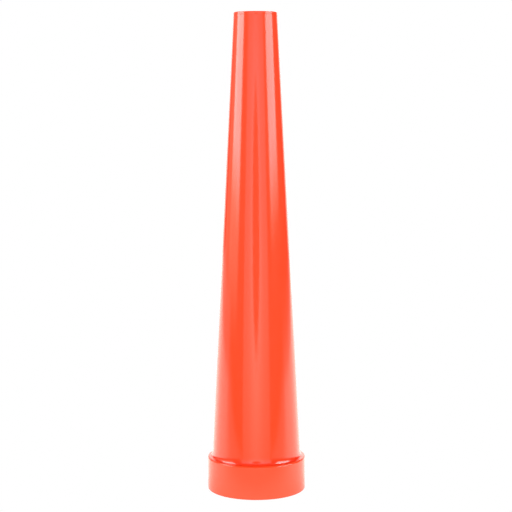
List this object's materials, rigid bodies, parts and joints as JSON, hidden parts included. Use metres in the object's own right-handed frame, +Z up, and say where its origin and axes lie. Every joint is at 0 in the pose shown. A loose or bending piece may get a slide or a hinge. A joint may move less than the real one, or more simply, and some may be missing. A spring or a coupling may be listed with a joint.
{
  "type": "slip-on signal cone",
  "caption": "Slim hollow orange-red signal cone on a short collar that slips over the head of a hand-held light; closed flat tip.",
  "frame": {"origin": "centre of the collar's bottom face, on the surface that the cone stands on", "axes": "+Z up along the cone's axis, towards the narrow tip"},
  "size_m": [0.0412, 0.0412, 0.2],
  "materials": {
    "shell_plastic": "glossy moulded orange-red, slightly translucent",
    "collar_plastic": "glossy moulded orange-red",
    "ring_rubber": "dull black soft rubber"
  },
  "bodies": {
    "collar": {"collar": "collar_plastic", "grip_ring": "ring_rubber"},
    "cone": {"cone_shell": "shell_plastic"},
    "tip": {"tip_cap": "shell_plastic"}
  },
  "joints": [
    {"name": "cone_lift", "type": "slide", "parent": "collar", "child": "cone", "axis": [0, 0, 1], "range_m": [0, 0.03]},
    {"name": "tip_cap_pull", "type": "slide", "parent": "cone", "child": "tip", "axis": [0, 0, 1], "range_m": [0, 0.02]}
  ]
}
